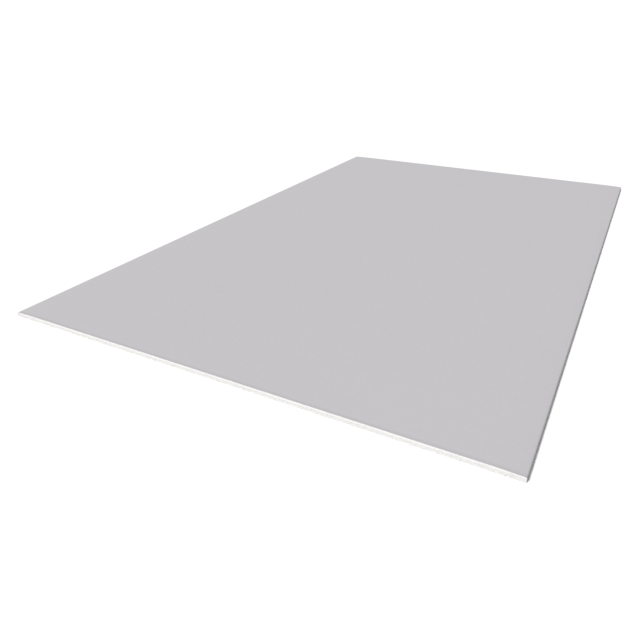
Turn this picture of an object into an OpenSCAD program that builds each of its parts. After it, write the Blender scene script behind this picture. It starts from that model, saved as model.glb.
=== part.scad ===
// Gypsum wallboard sheet with two tapered long edges, lying flat with its face up.
// X runs across its width, Y along its length and Z through its thickness.
// The origin is the middle of the underside.

/* [Board] */
// Width over the two paper-wrapped long edges
board_w = 1250; // [600:10:1300]
// Length between the two cut ends
board_l = 2000; // [1000:10:4000]
// Thickness over both papers, clear of the tapers
board_t = 12.5; // [9.5:0.5:18]

/* [Long edges] */
// Width of the taper along each long edge
taper_w = 50; // [30:1:80]
// Depth of the taper where the rounding of the long edge begins
taper_d = 1.2; // [0.1:0.1:2.5]
// Outside radius where the face turns down into the long edge
face_corner_r = 3; // [1:0.1:4]
// Outside radius where the long edge turns under onto the back
back_corner_r = 1.5; // [0.8:0.1:2]

/* [Papers] */
// Thickness of the face paper
face_paper_t = 0.35; // [0.2:0.05:0.6]
// Thickness of the back paper
back_paper_t = 0.3; // [0.2:0.05:0.6]
// How far the face paper returns onto the back, from the long edge
return_w = 30; // [15:1:45]
// Bare margin from the long edge to the back paper
back_margin_w = 12; // [5:1:14]

/* [Hidden] */
$fn = 64;

// Middles of the two rounded corners of the right long edge
face_corner_x = board_w / 2 - face_corner_r;
face_corner_z = board_t - taper_d - face_corner_r;
back_corner_x = board_w / 2 - back_corner_r;
back_corner_z = back_paper_t + back_corner_r;
// Width of core between the two returns, and the back paper's own width
between_returns_w = board_w - 2 * return_w;
back_paper_w = board_w - 2 * back_margin_w;

// Right half of what lies inside the face paper's outer surface, set in by a thickness.
// Its underside is at the top of the back paper, which laps over the returns.
module half_section(inset) {
    polygon([
        [0, back_paper_t + inset],
        [back_corner_x, back_paper_t + inset],
        [board_w / 2 - inset, back_corner_z],
        [board_w / 2 - inset, face_corner_z],
        [face_corner_x, board_t - taper_d - inset],
        [board_w / 2 - taper_w, board_t - inset],
        [0, board_t - inset],
    ]);
    translate([face_corner_x, face_corner_z])
        circle(r = face_corner_r - inset);
    translate([back_corner_x, back_corner_z])
        circle(r = back_corner_r - inset);
}

module section(inset) {
    half_section(inset);
    mirror([1, 0])
        half_section(inset);
}

// Middle of the section, clear of both returns, from a height up to half the thickness
module between_returns(from_z) {
    translate([-between_returns_w / 2, from_z])
        square([between_returns_w, board_t / 2 - from_z]);
}

// Runs a section from one cut end to the other
module along_board() {
    rotate([90, 0, 0])
        linear_extrude(height = board_l, center = true)
            children();
}

module gypsum_core() {
    color([0.95, 0.95, 0.93])
        along_board()
            union() {
                section(face_paper_t);
                between_returns(back_paper_t);
            }
}

module face_paper() {
    color([0.78, 0.77, 0.78])
        along_board()
            difference() {
                section(0);
                section(face_paper_t);
                between_returns(0);
            }
}

module back_paper() {
    color([0.66, 0.63, 0.58])
        translate([-back_paper_w / 2, -board_l / 2, 0])
            cube([back_paper_w, board_l, back_paper_t]);
}

gypsum_core();
face_paper();
back_paper();
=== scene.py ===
import math
import random

import bmesh
import bpy
import numpy as np
from mathutils import Matrix, Vector, noise


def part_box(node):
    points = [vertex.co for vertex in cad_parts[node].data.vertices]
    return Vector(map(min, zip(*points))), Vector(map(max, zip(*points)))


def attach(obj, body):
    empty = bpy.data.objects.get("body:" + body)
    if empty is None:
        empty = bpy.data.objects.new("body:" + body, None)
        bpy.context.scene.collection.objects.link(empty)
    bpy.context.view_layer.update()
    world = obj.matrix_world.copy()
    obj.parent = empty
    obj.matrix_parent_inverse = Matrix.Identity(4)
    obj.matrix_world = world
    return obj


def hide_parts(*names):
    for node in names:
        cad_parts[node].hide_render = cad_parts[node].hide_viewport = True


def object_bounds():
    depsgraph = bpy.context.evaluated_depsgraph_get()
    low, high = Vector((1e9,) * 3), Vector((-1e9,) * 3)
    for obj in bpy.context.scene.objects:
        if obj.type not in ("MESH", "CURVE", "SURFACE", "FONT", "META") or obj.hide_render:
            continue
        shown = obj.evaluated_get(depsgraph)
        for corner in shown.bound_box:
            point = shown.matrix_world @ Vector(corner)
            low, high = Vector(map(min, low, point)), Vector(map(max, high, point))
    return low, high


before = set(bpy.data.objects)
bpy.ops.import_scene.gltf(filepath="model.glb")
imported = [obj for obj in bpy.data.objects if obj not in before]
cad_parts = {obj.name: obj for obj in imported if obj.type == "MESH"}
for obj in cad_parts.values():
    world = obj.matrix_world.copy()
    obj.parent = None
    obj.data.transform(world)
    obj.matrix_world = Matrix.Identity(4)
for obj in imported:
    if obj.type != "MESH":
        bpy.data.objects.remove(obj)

# A gypsum wallboard sheet, lying flat with its face up. The three CAD pieces are stood for by
# meshes that add what the real ones have: a sawn, pitted core at both cut ends, papers with
# round wrapped edges and frayed cuts, and a procedural finish on every surface. Metres.

CAD_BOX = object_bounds()

# ---------------------------------------------------------------- sizes, from the frame
CORE_LOW, CORE_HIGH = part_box("gypsum_core")
FACE_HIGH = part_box("face_paper")[1]
BACK_LOW, BACK_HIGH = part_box("back_paper")
HALF_W, HALF_L, TOP = FACE_HIGH
FACE_PAPER_T = FACE_HIGH.z - CORE_HIGH.z
BACK_PAPER_T = BACK_HIGH.z - BACK_LOW.z
CORE_HALF_W = CORE_HIGH.x
BACK_HALF_W = BACK_HIGH.x

# Sizes of the section that no box gives, as in the part's source
TAPER_W = 0.050
TAPER_D = 0.0012
FACE_CORNER_R = 0.003
BACK_CORNER_R = 0.0015
RETURN_W = 0.030

BEND_X = HALF_W - TAPER_W
RETURN_X = HALF_W - RETURN_W
FACE_CORNER_X = HALF_W - FACE_CORNER_R
FACE_CORNER_Z = TOP - TAPER_D - FACE_CORNER_R
BACK_CORNER_X = HALF_W - BACK_CORNER_R
BACK_CORNER_Z = BACK_PAPER_T + BACK_CORNER_R

# ---------------------------------------------------------------- how finely it is modelled
# Steps round each corner of the section
ARC_STEPS = 8
# A difference below this, in metres or in a place along a ring, is only rounding
ROUNDING = 1e-6
# Angles, in degrees, past which the shading of a paper or of the core breaks
PAPER_CREASE = 40
CORE_CREASE = 60
# Rows of points near a cut end: (distance in from it, greatest distance between points in the row)
PAPER_ROWS = [(0.0, 0.001), (0.0008, 0.001), (0.005, 0.005), (0.025, 0.025)]
CORE_ROWS = [(0.004, 0.004), (0.024, 0.040)]
# Distance between the rows of a paper away from its cut ends
PAPER_ROW_STEP = 0.025
# The grid on the core's cut ends: greatest distance between its points across, and its layers
CORE_PITCH = 0.0007
CORE_LAYERS = 17
# Layers of the core's long sides away from its cut ends, and the stretches of a ring round it
SIDE_LAYERS = 3
CORE_SIDES = 4
# Width of the step in the core's back where a return of the face paper begins
RETURN_STEP_W = 0.00002

# The map that the core's look is baked through when it is exported: each cut end lies in rows,
# beside a narrow column for what the papers hide
BAKE_MAP = "OFBake"
BAKE_ROWS = 7
# Length of a cut end that fits across the map, and the gap that each row keeps from its border
BAKE_SIDE = 0.190
BAKE_GAP = 0.0007
# Width of the column, as a share of the map
BAKE_COLUMN = 0.045

# ---------------------------------------------------------------- wear of the papers
# How far a cut end frays out, and how much of that the face paper's single fibres, its pulled
# tufts and the back paper's fibres each take
FRAY = 0.00022
FIBRE_SHARE = 0.5
TUFT_SHARE = 1.6
BACK_FRAY_SHARE = 0.6
# How far the face paper's cut end curls up and down
CURL = 0.00008
# How far the long edges of the face paper and of the back paper wander from straight
WRAP_WANDER = 0.00012
LAP_WANDER = 0.00048

# How fast each of these changes for each metre: fibres along X and Z, tufts along X and Y, the
# curl along X, and the long edges along Y
FIBRE_RATE = (420, 900)
TUFT_RATE = (55, 9)
CURL_RATE = 160
WRAP_RATE = 3.1
LAP_RATE = 2.3
# Where in the noise each is read, on the other side of zero for the other end or edge, so that
# no two are alike
FACE_FRAY_AT = 31
BACK_FRAY_AT = 53
TUFT_AT = 3.3
CURL_AT = (17, 8.8)
WRAP_AT = (7, 0.5)
LAP_AT = (19, 1.5)

# ---------------------------------------------------------------- wear of the core's cut ends
# How far the gypsum lies behind the papers' ends, on the whole and at the least
SAWN_RECESS = 0.00022
LEAST_RECESS = 0.00003
# The saw grain: its depth, its rate and place as above, and its scales as how they fade, the
# ratio between them and how many there are
SAWN_ROUGHNESS = 0.00013
GRAIN_RATE = 520
GRAIN_AT = 40
GRAIN_SCALES = (0.6, 2.1, 4)
# Air pits, with their depth as a share of their radius
PITS_PER_END = 420
PIT_R = (0.0004, 0.0014)
PIT_DEPTH = 0.75
# Chips beside the papers, with how many of them are beside the back, and their depth as a share
# of their height
CHIPS_PER_END = 130
CHIP_W = (0.0010, 0.0035)
CHIP_H = (0.0002, 0.0007)
CHIPS_AT_BACK = 0.5
CHIP_DEPTH = 0.6
SEED = 12


# ---------------------------------------------------------------- mesh helpers
def line(start, end):
    """A straight stretch of a section, as a function of 0 to 1 and its length."""
    start, end = Vector(start), Vector(end)
    return (lambda u: start.lerp(end, u)), (end - start).length


def corner(middle, radius, start, stop):
    """A round corner of a section, from one angle to another in degrees.

    Its length is None, because it has a set number of steps.
    """
    def at(u):
        angle = math.radians(start + (stop - start) * u)
        return Vector(middle) + radius * Vector((math.cos(angle), math.sin(angle)))
    return at, None


def mirrored(spans):
    """The same stretches on the left of the sheet, in the opposite order."""
    return [
        ((lambda u, at=at: Vector((-at(1 - u).x, at(1 - u).y))), length)
        for at, length in reversed(spans)
    ]


def wrap(inset):
    """The face paper's course round the sheet, from its left return to its right one."""
    side, low, high = HALF_W - inset, BACK_PAPER_T + inset, TOP - inset
    right = [
        line((BEND_X, high), (FACE_CORNER_X, high - TAPER_D)),
        corner((FACE_CORNER_X, FACE_CORNER_Z), FACE_CORNER_R - inset, 90, 0),
        line((side, FACE_CORNER_Z), (side, BACK_CORNER_Z)),
        corner((BACK_CORNER_X, BACK_CORNER_Z), BACK_CORNER_R - inset, 0, -90),
        line((BACK_CORNER_X, low), (RETURN_X, low)),
    ]
    return mirrored(right) + [line((-BEND_X, high), (BEND_X, high))] + right


def sample(spans, pitch):
    """(place along the course, x, z) of points no further apart on its straights than a pitch."""
    points = []
    for k, (at, length) in enumerate(spans):
        steps = ARC_STEPS if length is None else max(1, math.ceil(length / pitch))
        points += [(k + i / steps, *at(i / steps)) for i in range(steps)]
    return points + [(float(len(spans)), *spans[-1][0](1))]


def stitch(bm, first, second, closes_at):
    """Joins two closed rings of (place, vertex): quads where places match, triangles elsewhere."""
    i = j = 0
    while i < len(first) or j < len(second):
        a, b = first[i % len(first)][1], second[j % len(second)][1]
        next_a = first[i + 1][0] if i + 1 < len(first) else closes_at + (i >= len(first))
        next_b = second[j + 1][0] if j + 1 < len(second) else closes_at + (j >= len(second))
        after_a = first[(i + 1) % len(first)][1]
        after_b = second[(j + 1) % len(second)][1]
        if abs(next_a - next_b) < ROUNDING:
            bm.faces.new((a, after_a, after_b, b))
            i += 1
            j += 1
        elif next_a < next_b:
            bm.faces.new((a, after_a, b))
            i += 1
        else:
            bm.faces.new((a, after_b, b))
            j += 1


def finished(bm, name, crease):
    """An object of a bmesh, smooth except where two faces meet at more than a crease's angle."""
    bmesh.ops.recalc_face_normals(bm, faces=bm.faces)
    mesh = bpy.data.meshes.new(name)
    bm.to_mesh(mesh)
    bm.free()
    mesh.shade_smooth()
    mesh.set_sharp_from_angle(angle=math.radians(crease))
    piece = bpy.data.objects.new(name, mesh)
    bpy.context.scene.collection.objects.link(piece)
    return piece


def paper_rows():
    """(y, distance in from a cut end, pitch) of each row of a paper, near end first.

    The distance is None for the rows between the two ends.
    """
    near = [(-HALF_L + inward, inward, pitch) for inward, pitch in PAPER_ROWS]
    inward, pitch = PAPER_ROWS[-1]
    length = 2 * (HALF_L - inward)
    steps = round(length / PAPER_ROW_STEP)
    middle = [(-HALF_L + inward + length * i / steps, None, pitch) for i in range(1, steps)]
    far = [(-y, inward, pitch) for y, inward, pitch in reversed(near)]
    return near + middle + far


# ---------------------------------------------------------------- papers
def thin_sheet(name, outer, inner, worn):
    """A closed sheet of paper between an outer and an inner course, cut off at both ends.

    Its points are moved by worn, which takes x, y, z and the distance in from a cut end.
    """
    bm = bmesh.new()
    last = 2 * len(outer) + 1
    rings = []
    for y, inward, pitch in paper_rows():
        out = sample(outer, pitch)
        back = [(last - s, x, z) for s, x, z in reversed(sample(inner, pitch))]
        ring = [(s, bm.verts.new(worn(x, y, z, inward))) for s, x, z in out + back]
        if rings:
            stitch(bm, rings[-1], ring, last + 1)
        rings.append(ring)
    for ring in (rings[0], rings[-1]):
        cut_edge(bm, ring)
    return finished(bm, name, PAPER_CREASE)


def cut_edge(bm, ring):
    """Closes a ring that runs out along one side of a paper and back along the other."""
    last = len(ring) - 1
    for i in range(len(ring) // 2 - 1):
        quad = (ring[i][1], ring[i + 1][1], ring[last - i - 1][1], ring[last - i][1])
        bm.faces.new(quad).material_index = 1


def fibres_at(x, y, z, end_at):
    """How far the single fibres of a cut end reach out there, from about -1 to 1."""
    spot = (x * FIBRE_RATE[0], math.copysign(end_at, y), z * FIBRE_RATE[1])
    return noise.noise(Vector(spot))


def wrap_point(x, y, z, inward):
    """A point of the face paper: its cut end frays and curls, and its long edge wanders."""
    side_at, layer_at = WRAP_AT
    wander = WRAP_WANDER * noise.noise(Vector((math.copysign(side_at, x), y * WRAP_RATE, layer_at)))
    x += wander * min(1.0, max(0.0, (abs(x) - BEND_X) / TAPER_W))
    if inward == 0:
        fibres = fibres_at(x, y, z, FACE_FRAY_AT)
        tuft = noise.noise(Vector((x * TUFT_RATE[0], y * TUFT_RATE[1], TUFT_AT)))
        tuft = max(0.0, tuft) ** 2
        y += math.copysign(FRAY * (FIBRE_SHARE * fibres + TUFT_SHARE * tuft), y)
        end_at, layer_at = CURL_AT
        z += CURL * noise.noise(Vector((x * CURL_RATE, math.copysign(end_at, y), layer_at)))
    return x, y, z


def lap_point(x, y, z, inward):
    """A point of the back paper: its cut ends fray, and its slit long edges wander a little."""
    if abs(x) > BACK_HALF_W - ROUNDING:
        side_at, layer_at = LAP_AT
        x += LAP_WANDER * noise.noise(Vector((math.copysign(side_at, x), y * LAP_RATE, layer_at)))
    if inward == 0:
        y += math.copysign(FRAY * BACK_FRAY_SHARE * fibres_at(x, y, z, BACK_FRAY_AT), y)
    return x, y, z


def wrapped_paper():
    """The face paper, bent round both long edges."""
    return thin_sheet("face_paper_wrap", wrap(0), wrap(FACE_PAPER_T), wrap_point)


def lapped_paper():
    """The back paper, flat on the floor."""
    outer = [line((-BACK_HALF_W, 0), (BACK_HALF_W, 0))]
    inner = [line((-BACK_HALF_W, BACK_PAPER_T), (BACK_HALF_W, BACK_PAPER_T))]
    return thin_sheet("back_paper_lap", outer, inner, lap_point)


# ---------------------------------------------------------------- core
def core_top(x):
    """Height of the core's face side, under the face paper."""
    a, high, radius = abs(x), TOP - FACE_PAPER_T, FACE_CORNER_R - FACE_PAPER_T
    if a <= BEND_X:
        return high
    if a <= FACE_CORNER_X:
        return high - TAPER_D * (a - BEND_X) / (FACE_CORNER_X - BEND_X)
    return FACE_CORNER_Z + math.sqrt(max(0.0, radius**2 - (a - FACE_CORNER_X) ** 2))


def core_bottom(x):
    """Height of the core's back, which steps up over the face paper's returns."""
    a, radius = abs(x), BACK_CORNER_R - FACE_PAPER_T
    if a <= RETURN_X:
        return BACK_PAPER_T
    if a <= BACK_CORNER_X:
        return BACK_PAPER_T + FACE_PAPER_T
    return BACK_CORNER_Z - math.sqrt(max(0.0, radius**2 - (a - BACK_CORNER_X) ** 2))


def columns(pitch):
    """Places across the core, closer together round its corners and on both sides of each step."""
    radius = CORE_HALF_W - FACE_CORNER_X
    turns = [math.radians(90 * i / ARC_STEPS) for i in range(ARC_STEPS + 1)]
    stops = [0.0, BEND_X, RETURN_X, RETURN_X + RETURN_STEP_W, FACE_CORNER_X]
    half = []
    for a, b in zip(stops, stops[1:]):
        steps = max(1, math.ceil((b - a) / pitch))
        half += [a + (b - a) * i / steps for i in range(steps)]
    half += [CORE_HALF_W - radius * (1 - math.sin(t)) for t in turns]
    return [-x for x in reversed(half[1:])] + half


def section_ring(bm, y, pitch):
    """A closed ring round the core at one place along it, as (place, vertex).

    Places run from 0 to 1 over the top, to 2 down the right side, to 3 back along the bottom
    and to 4 up the left side.
    """
    xs = columns(pitch)
    points = [(across(x), x, core_top(x)) for x in xs]
    points += side_points(xs[-1], 1)
    points += [(3 - across(x), x, core_bottom(x)) for x in reversed(xs)]
    points += side_points(xs[0], 3)
    return [(s, bm.verts.new((x, y, z))) for s, x, z in points]


def across(x):
    """How far across the core a place is, from 0 to 1."""
    return (x / CORE_HALF_W + 1) / 2


def side_points(x, place):
    """The inner points of one long side, down the right one and up the left one."""
    start, stop = (core_top(x), core_bottom(x)) if x > 0 else (core_bottom(x), core_top(x))
    shares = [i / SIDE_LAYERS for i in range(1, SIDE_LAYERS)]
    return [(place + u, x, start + (stop - start) * u) for u in shares]


def sawn_depths(xs, zs, end):
    """How far each point of a cut end lies behind the sheet's end: grain, air pits and chips."""
    draw = random.Random(f"{SEED} {end}")
    depths = np.full(zs.shape, SAWN_RECESS)
    for i, x in enumerate(xs):
        for k, z in enumerate(zs[i]):
            spot = Vector((x * GRAIN_RATE, end * GRAIN_AT, z * GRAIN_RATE))
            depths[i, k] += SAWN_ROUGHNESS * noise.fractal(spot, *GRAIN_SCALES)
    for _ in range(PITS_PER_END):
        radius = draw.uniform(*PIT_R) * draw.random() ** 0.5
        x, z = draw.uniform(-CORE_HALF_W, CORE_HALF_W), draw.uniform(CORE_LOW.z, CORE_HIGH.z)
        dent(depths, xs, zs, (x, z), (radius, radius), PIT_DEPTH * radius)
    for _ in range(CHIPS_PER_END):
        x = draw.uniform(-CORE_HALF_W, CORE_HALF_W)
        z = core_bottom(x) if draw.random() < CHIPS_AT_BACK else core_top(x)
        width, height = draw.uniform(*CHIP_W), draw.uniform(*CHIP_H)
        dent(depths, xs, zs, (x, z), (width, height), CHIP_DEPTH * height)
    return np.maximum(depths, LEAST_RECESS)


def dent(depths, xs, zs, middle, size, depth):
    """Sinks an oval hollow into a cut end."""
    first, last = np.searchsorted(xs, (middle[0] - size[0], middle[0] + size[0]))
    dx = (np.array(xs[first:last])[:, None] - middle[0]) / size[0]
    dz = (zs[first:last] - middle[1]) / size[1]
    depths[first:last] += depth * np.sqrt(np.clip(1 - dx**2 - dz**2, 0, None))


def sawn_end(bm, end):
    """Makes the relief of one cut end, and returns the closed ring round its border.

    The ring's places are those of section_ring. The relief's faces are tagged for lay_out.
    """
    xs = columns(CORE_PITCH)
    shares = np.linspace(0, 1, CORE_LAYERS + 1)
    low = np.array([core_bottom(x) for x in xs])[:, None]
    high = np.array([core_top(x) for x in xs])[:, None]
    zs = low + (high - low) * shares
    ys = end * (HALF_L - sawn_depths(xs, zs, end))
    grid = [
        [bm.verts.new((x, ys[i, k], zs[i, k])) for k in range(CORE_LAYERS + 1)]
        for i, x in enumerate(xs)
    ]
    for a, b in zip(grid, grid[1:]):
        for k in range(CORE_LAYERS):
            bm.faces.new((a[k], b[k], b[k + 1], a[k + 1])).tag = True
    inner = range(1, CORE_LAYERS)
    ring = [(across(x), column[-1]) for x, column in zip(xs, grid)]
    ring += [(1 + k / CORE_LAYERS, grid[-1][CORE_LAYERS - k]) for k in inner]
    ring += [(3 - across(x), column[0]) for x, column in zip(reversed(xs), reversed(grid))]
    ring += [(3 + k / CORE_LAYERS, grid[0][k]) for k in inner]
    return ring


def sawn_core():
    """The gypsum core: a plain bar under the papers, with both cut ends in relief."""
    bm = bmesh.new()
    rings = [sawn_end(bm, -1)]
    rows = [(-HALF_L + inward, pitch) for inward, pitch in CORE_ROWS]
    rows += [(-y, pitch) for y, pitch in reversed(rows)]
    rings += [section_ring(bm, y, pitch) for y, pitch in rows]
    rings.append(sawn_end(bm, 1))
    for a, b in zip(rings, rings[1:]):
        stitch(bm, a, b, CORE_SIDES)
    lay_out(bm)
    return finished(bm, "gypsum_core_bar", CORE_CREASE)


def lay_out(bm):
    """Gives the core its baking map. The faces of the cut ends are the tagged ones."""
    layer = bm.loops.layers.uv.new(BAKE_MAP)
    for face in bm.faces:
        middle = face.calc_center_median()
        for loop in face.loops:
            point = loop.vert.co
            loop[layer].uv = row_place(point, middle) if face.tag else column_place(point)


def row_place(point, middle):
    """Where a point of a cut end goes on the map, in the row of its face's middle."""
    length = 2 * CORE_HALF_W / BAKE_ROWS
    row = int((middle.x + CORE_HALF_W) / length)
    along = point.x + CORE_HALF_W - row * length + BAKE_GAP
    up = (point.z - CORE_LOW.z + BAKE_GAP) / BAKE_SIDE
    rows = 2 * BAKE_ROWS
    first = BAKE_ROWS if middle.y > 0 else 0
    return along / BAKE_SIDE, (first + row) / rows + up


def column_place(point):
    """Where a point under the papers goes on the map."""
    share = (point.x / CORE_HALF_W + point.z / TOP + 1) / 3
    return 1 - BAKE_COLUMN * (1 - share), (point.y / HALF_L + 1) / 2


# ---------------------------------------------------------------- material helpers
# The smallest spot of a pattern as a share of its largest, and the share of a spot inside its fade
LEAST_SPOT = 0.15
SPOT_CORE = 0.4


class Shader:
    """A node tree that is filled by calls: shader.add("ShaderNodeMath", {...}, operation="ADD")."""

    def __init__(self, name):
        self.material = bpy.data.materials.new(name)
        self.material.use_nodes = True
        self.tree = self.material.node_tree
        self.surface = self.tree.nodes["Principled BSDF"]
        self.place = self.add("ShaderNodeTexCoord").outputs["Object"]

    def add(self, kind, inputs=None, **settings):
        """A node. An input given as a socket is linked, and any other is set."""
        node = self.tree.nodes.new(kind)
        for name, value in settings.items():
            setattr(node, name, value)
        for name, value in (inputs or {}).items():
            self.give(node.inputs[name], value)
        return node

    def give(self, socket, value):
        """Links an input to a socket, or sets it to a value."""
        if isinstance(value, bpy.types.NodeSocket):
            self.tree.links.new(value, socket)
        else:
            socket.default_value = value

    def math(self, operation, a, b=0.0, c=0.0):
        """The result of one operation on up to three numbers or sockets."""
        return self.add("ShaderNodeMath", {0: a, 1: b, 2: c}, operation=operation).outputs[0]

    def ramp(self, value, low, high, start=0.0, stop=1.0):
        """A value read smoothly from one range into another."""
        return self.add(
            "ShaderNodeMapRange",
            {"Value": value, "From Min": low, "From Max": high, "To Min": start, "To Max": stop},
            interpolation_type="SMOOTHSTEP",
        ).outputs["Result"]

    def stretched(self, x, y, z):
        """The place on the sheet, scaled along each axis: a small scale draws a pattern out."""
        return self.add(
            "ShaderNodeMapping", {"Vector": self.place, "Scale": (x, y, z)}
        ).outputs["Vector"]

    def clouds(self, size, detail, place=None, roughness=0.5):
        """Soft noise between 0 and 1, about as coarse as a size."""
        return self.add(
            "ShaderNodeTexNoise",
            {
                "Vector": place or self.place,
                "Scale": 1 / size,
                "Detail": detail,
                "Roughness": roughness,
            },
        ).outputs["Fac"]

    def spots(self, spacing, radius, place=None):
        """1 in the middle of scattered spots, and 0 between them.

        Each spot has a size of its own, up to a radius, and fades out towards its rim.
        """
        cells = self.add(
            "ShaderNodeTexVoronoi",
            {"Vector": place or self.place, "Scale": 1 / spacing},
        )
        draw = self.add("ShaderNodeSeparateColor", {0: cells.outputs["Color"]}).outputs[0]
        most = radius / spacing
        size = self.math("MULTIPLY_ADD", draw, (1 - LEAST_SPOT) * most, LEAST_SPOT * most)
        outward = self.math("DIVIDE", cells.outputs["Distance"], size)
        return self.ramp(outward, SPOT_CORE, 1.0, start=1.0, stop=0.0)

    def tone(self, *shares):
        """One plus the sum of each (pattern, amount), with each pattern taken from its middle."""
        total = 1.0
        for pattern, amount in shares:
            total = self.math("MULTIPLY_ADD", self.math("SUBTRACT", pattern, 0.5), amount, total)
        return total

    def marked(self, total, *marks):
        """A value plus the sum of each (pattern, amount)."""
        for pattern, amount in marks:
            total = self.math("MULTIPLY_ADD", pattern, amount, total)
        return total

    def paint(self, colour, tone):
        """The base colour: one colour, lighter and darker by a tone."""
        scaled = self.add("ShaderNodeVectorMath", {0: colour, "Scale": tone}, operation="SCALE")
        self.give(self.surface.inputs["Base Color"], scaled.outputs[0])

    def relief(self, height, depth):
        """Fine bump: a height of one stands out by the depth, in metres."""
        bump = self.add("ShaderNodeBump", {"Height": height, "Distance": depth})
        self.give(self.surface.inputs["Normal"], bump.outputs["Normal"])

    def gloss(self, roughness, specular):
        """How rough the surface is, and how much of a highlight it has."""
        self.give(self.surface.inputs["Roughness"], roughness)
        self.give(self.surface.inputs["Specular IOR Level"], specular)


# ---------------------------------------------------------------- finishes
FACE_COLOUR = (0.514, 0.502, 0.519)
PULP_COLOUR = (0.40, 0.385, 0.365)
GYPSUM_COLOUR = (0.615, 0.61, 0.60)
BACK_COLOUR = (0.40, 0.365, 0.31)

# The face paper's darker band beside each cut, which fades out between two distances from it
RIM_TONE = 0.93
RIM_FADE = (0.004, 0.010)

# The gypsum's own brightness, and the painted light added next to each paper, which leaves the
# middle of a cut end darker as painted shade. Each painted light fades out between two heights,
# which are shares of the sheet's thickness.
CORE_TONE = 0.95
FACE_PAINTED_LIGHT = 0.15
FACE_PAINTED_LIGHT_HEIGHTS = (0.48, 0.75)
BACK_PAINTED_LIGHT = 0.10
BACK_PAINTED_LIGHT_HEIGHTS = (0.03, 0.36)


def face_paper_finish():
    """Smooth pale grey paper: long fine fibres, cloudy formation, and a darker band by each cut."""
    shader = Shader("face_paper")
    fibres = shader.clouds(0.0006, detail=3.0, place=shader.stretched(1, 0.15, 1), roughness=0.6)
    formation = shader.clouds(0.009, detail=3.0)
    drift = shader.clouds(0.35, detail=1.0)
    flecks = shader.spots(spacing=0.009, radius=0.0007, place=shader.stretched(1, 0.4, 1))
    tone = shader.tone((fibres, 0.20), (formation, 0.05), (drift, 0.02))
    tone = shader.marked(tone, (flecks, -0.10))
    length = shader.add("ShaderNodeSeparateXYZ", {0: shader.place}).outputs["Y"]
    inward = shader.math("SUBTRACT", HALF_L, shader.math("ABSOLUTE", length))
    rim = shader.ramp(inward, *RIM_FADE, start=RIM_TONE, stop=1.0)
    shader.paint(FACE_COLOUR, shader.math("MULTIPLY", tone, rim))
    shader.relief(shader.math("ADD", fibres, formation), depth=0.00008)
    roughness = shader.ramp(fibres, low=0.2, high=0.8, start=0.78, stop=0.92)
    shader.gloss(roughness, specular=0.25)
    return shader.material


def pulp_finish(name):
    """A cut edge of paper: grey-brown pulp in thin plies along the cut."""
    shader = Shader(name)
    plies = shader.clouds(0.00012, detail=2.0, place=shader.stretched(0.08, 1, 1))
    tufts = shader.clouds(0.0012, detail=3.0)
    shader.paint(PULP_COLOUR, shader.tone((plies, 0.5), (tufts, 0.5)))
    shader.relief(shader.math("ADD", plies, tufts), depth=0.00008)
    shader.gloss(roughness=0.95, specular=0.1)
    return shader.material


def gypsum_finish():
    """Sawn gypsum: chalky and full of fine air bubbles, and painted lighter next to both papers as
    painted light.
    """
    shader = Shader("gypsum")
    grain = shader.clouds(0.0007, detail=4.0, roughness=0.65)
    patches = shader.clouds(0.018, detail=3.0)
    foam = shader.spots(spacing=0.0008, radius=0.00034)
    bubbles = shader.spots(spacing=0.0027, radius=0.0008)
    saw_marks = shader.clouds(0.0011, detail=2.0, place=shader.stretched(1, 1, 0.12))
    tone = shader.tone((grain, 0.14), (patches, 0.06), (saw_marks, 0.08))
    # Foam and bubbles are painted darker, as painted shade in their hollows; the relief below also
    # sinks them in.
    tone = shader.marked(tone, (foam, -0.14), (bubbles, -0.26))
    # The base colour carries painted light and shade that changes with height.
    shader.paint(GYPSUM_COLOUR, shader.math("MULTIPLY", tone, painted_light_by_height(shader)))
    relief = shader.math("ADD", grain, saw_marks)
    relief = shader.marked(relief, (foam, -0.7), (bubbles, -1.8))
    shader.relief(relief, depth=0.0002)
    shader.gloss(roughness=0.96, specular=0.12)
    return shader.material


def painted_light_by_height(shader):
    """Painted light and shade: how bright the gypsum is painted at each height, lighter next to
    each paper, darker between.
    """
    height = shader.add("ShaderNodeSeparateXYZ", {0: shader.place}).outputs["Z"]
    low, high = (share * TOP for share in FACE_PAINTED_LIGHT_HEIGHTS)
    light_by_face = shader.ramp(height, low, high, start=0.0, stop=FACE_PAINTED_LIGHT)
    low, high = (share * TOP for share in BACK_PAINTED_LIGHT_HEIGHTS)
    light_by_back = shader.ramp(height, low, high, start=BACK_PAINTED_LIGHT, stop=0.0)
    return shader.math("ADD", shader.math("ADD", light_by_face, light_by_back), CORE_TONE)


def back_paper_finish():
    """Rough grey-brown recycled paper, with dark and pale fibres in it."""
    shader = Shader("back_paper")
    fibres = shader.clouds(0.0009, detail=4.0, place=shader.stretched(1, 0.2, 1), roughness=0.65)
    formation = shader.clouds(0.012, detail=3.0)
    drift = shader.clouds(0.3, detail=1.0)
    dark = shader.spots(spacing=0.006, radius=0.0008, place=shader.stretched(1, 0.35, 1))
    pale = shader.spots(spacing=0.0085, radius=0.0007, place=shader.stretched(0.5, 1, 1))
    tone = shader.tone((fibres, 0.26), (formation, 0.12), (drift, 0.05))
    shader.paint(BACK_COLOUR, shader.marked(tone, (dark, -0.22), (pale, 0.16)))
    shader.relief(shader.math("ADD", fibres, formation), depth=0.00009)
    roughness = shader.ramp(fibres, low=0.2, high=0.8, start=0.86, stop=0.97)
    shader.gloss(roughness, specular=0.15)
    return shader.material


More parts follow.
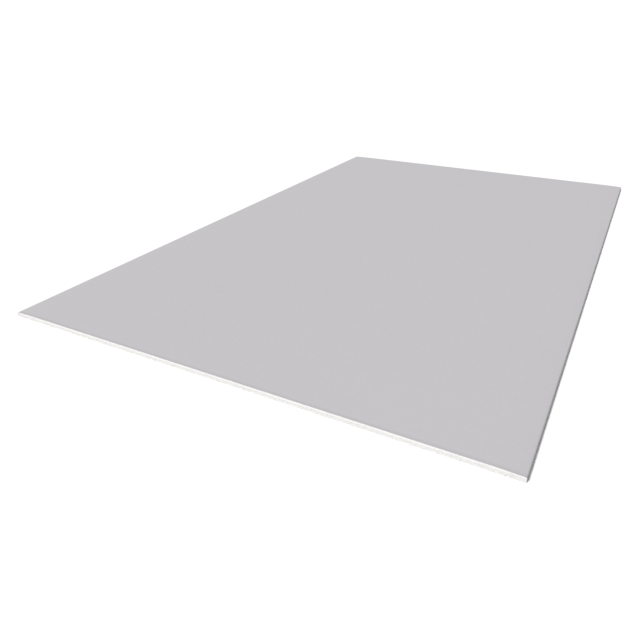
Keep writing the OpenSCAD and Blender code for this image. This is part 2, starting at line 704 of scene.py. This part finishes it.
# ---------------------------------------------------------------- studio
# Where the camera stands: to the right of the sheet's middle, out from its near end and above
# its face, in metres, then which way it looks, in degrees, and what it sees, in metres away
CAMERA_RIGHT = 0.6723
CAMERA_OUT = 0.8002
CAMERA_ABOVE = 0.6750
LOOK_LEFT = 28.339
LOOK_DOWN = 27.91
LEAN_RIGHT = 0.032
NEAREST_SEEN = 0.05
FARTHEST_SEEN = 240.0
LENS_MM = 33.093
SENSOR_MM = 36.0

# Brightness of a white matt surface that faces up, and how much of it comes from all round
WHITE = 1.1
SKY = 0.32
# Slopes of the key light: how far left of and in front of the sheet it stands for each metre up
KEY_LEFT = 0.34
KEY_FRONT = 1.0
# Its width in the sky, in degrees
KEY_SPREAD = 12.0
# How bright the backdrop is, how pale the floor is, and how far it reaches each way
BACKDROP = 1.2
FLOOR_TONE = 0.93
FLOOR_REACH = 120.0
# How far the floor lies below the sheet, so that the two don't share a plane
FLOOR_GAP = 0.0001


def stand_camera():
    """The camera, off the near right corner of the sheet and looking down along it to the left."""
    camera = bpy.data.cameras.new("camera")
    camera.lens = LENS_MM
    camera.sensor_width = SENSOR_MM
    camera.clip_start = NEAREST_SEEN
    camera.clip_end = FARTHEST_SEEN
    holder = bpy.data.objects.new("camera", camera)
    bpy.context.scene.collection.objects.link(holder)
    holder.location = (CAMERA_RIGHT, -HALF_L - CAMERA_OUT, TOP + CAMERA_ABOVE)
    turn = Matrix.Rotation(math.radians(LOOK_LEFT), 4, "Z")
    tilt = Matrix.Rotation(math.radians(90 - LOOK_DOWN), 4, "X")
    lean = Matrix.Rotation(math.radians(-LEAN_RIGHT), 4, "Z")
    holder.rotation_euler = (turn @ tilt @ lean).to_euler()
    bpy.context.scene.camera = holder


def lay_floor():
    """A plain pale floor under the sheet, far wider than any view of it."""
    reach = FLOOR_REACH
    mesh = bpy.data.meshes.new("floor")
    sides = [(-reach, -reach), (reach, -reach), (reach, reach), (-reach, reach)]
    mesh.from_pydata([(x, y, CAD_BOX[0].z - FLOOR_GAP) for x, y in sides], [], [(0, 1, 2, 3)])
    floor = bpy.data.objects.new("floor", mesh)
    bpy.context.scene.collection.objects.link(floor)
    shader = Shader("floor")
    shader.give(shader.surface.inputs["Base Color"], (FLOOR_TONE, FLOOR_TONE, FLOOR_TONE, 1))
    shader.gloss(roughness=1.0, specular=0.0)
    mesh.materials.append(shader.material)


def hang_key_light():
    """One broad key light, from the front left and high up."""
    towards = Vector((-KEY_LEFT, -KEY_FRONT, 1)).normalized()
    light = bpy.data.lights.new("key", "SUN")
    light.energy = (WHITE - SKY) * math.pi / towards.z
    light.angle = math.radians(KEY_SPREAD)
    holder = bpy.data.objects.new("key", light)
    bpy.context.scene.collection.objects.link(holder)
    holder.rotation_euler = towards.to_track_quat("Z", "Y").to_euler()


def light_studio():
    """Even light from all round, and a white backdrop that only the camera sees."""
    world = bpy.data.worlds.new("studio")
    bpy.context.scene.world = world
    world.use_nodes = True
    nodes, links = world.node_tree.nodes, world.node_tree.links
    fill = nodes["Background"]
    fill.inputs["Color"].default_value = (1, 1, 1, 1)
    fill.inputs["Strength"].default_value = SKY
    backdrop = nodes.new("ShaderNodeBackground")
    backdrop.inputs["Strength"].default_value = BACKDROP
    backdrop.inputs["Color"].default_value = (1, 1, 1, 1)
    seen = nodes.new("ShaderNodeLightPath")
    mix = nodes.new("ShaderNodeMixShader")
    links.new(seen.outputs["Is Camera Ray"], mix.inputs[0])
    links.new(fill.outputs[0], mix.inputs[1])
    links.new(backdrop.outputs[0], mix.inputs[2])
    links.new(mix.outputs[0], nodes["World Output"].inputs["Surface"])


# ---------------------------------------------------------------- the sheet
stand_camera()

core = sawn_core()
core.data.materials.append(gypsum_finish())
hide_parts("gypsum_core")

face = wrapped_paper()
face.data.materials.append(face_paper_finish())
face.data.materials.append(pulp_finish("face_paper_pulp"))
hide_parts("face_paper")

back = lapped_paper()
back.data.materials.append(back_paper_finish())
back.data.materials.append(pulp_finish("back_paper_pulp"))
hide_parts("back_paper")

for piece in (core, face, back):
    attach(piece, "root")

lay_floor()
hang_key_light()
light_studio()
bpy.context.scene.view_settings.view_transform = "Standard"
